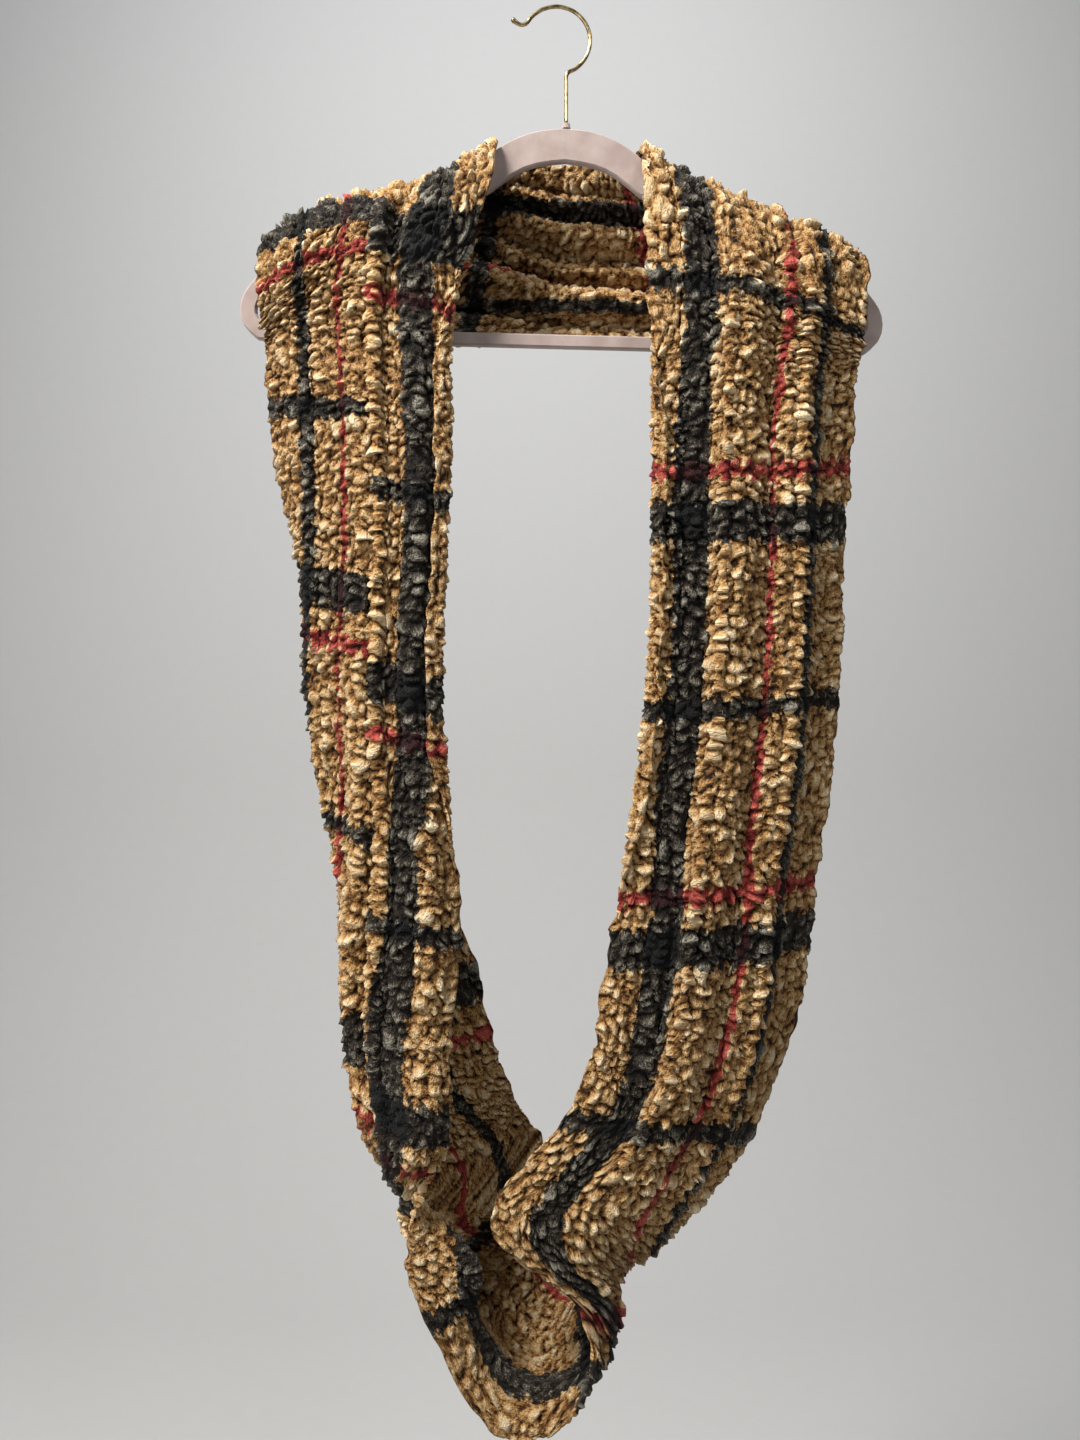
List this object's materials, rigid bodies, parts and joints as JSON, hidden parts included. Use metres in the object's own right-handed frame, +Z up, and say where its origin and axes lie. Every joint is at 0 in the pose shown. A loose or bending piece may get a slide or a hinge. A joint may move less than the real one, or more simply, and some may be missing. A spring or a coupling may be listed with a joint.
{
  "type": "loop scarf on a clothes hanger",
  "caption": "Wide loop scarf of puckered checked cloth, hung over a flocked hanger with a wire hook, with folded fronts and a twisted sling at the bottom.",
  "frame": {"origin": "inner top of the hanger's hook, where a rail or nail holds it", "axes": "+Z up, +Y from the viewer to the wall behind, +X to the right as seen in the picture"},
  "size_m": [0.4489, 0.1182, 0.9632],
  "materials": {
    "cloth": "puckered cloth, soft satin sheen",
    "flock": "flocked, matt",
    "brass": "polished wire"
  },
  "bodies": {
    "root": {"scarf_behind_neck": "cloth", "scarf_left_shoulder": "cloth", "scarf_left_front": "cloth", "scarf_sling": "cloth", "scarf_right_front": "cloth", "scarf_right_shoulder": "cloth", "hanger_frame": "flock", "hanger_collar": "flock", "hanger_hook": "brass"}
  },
  "joints": []
}
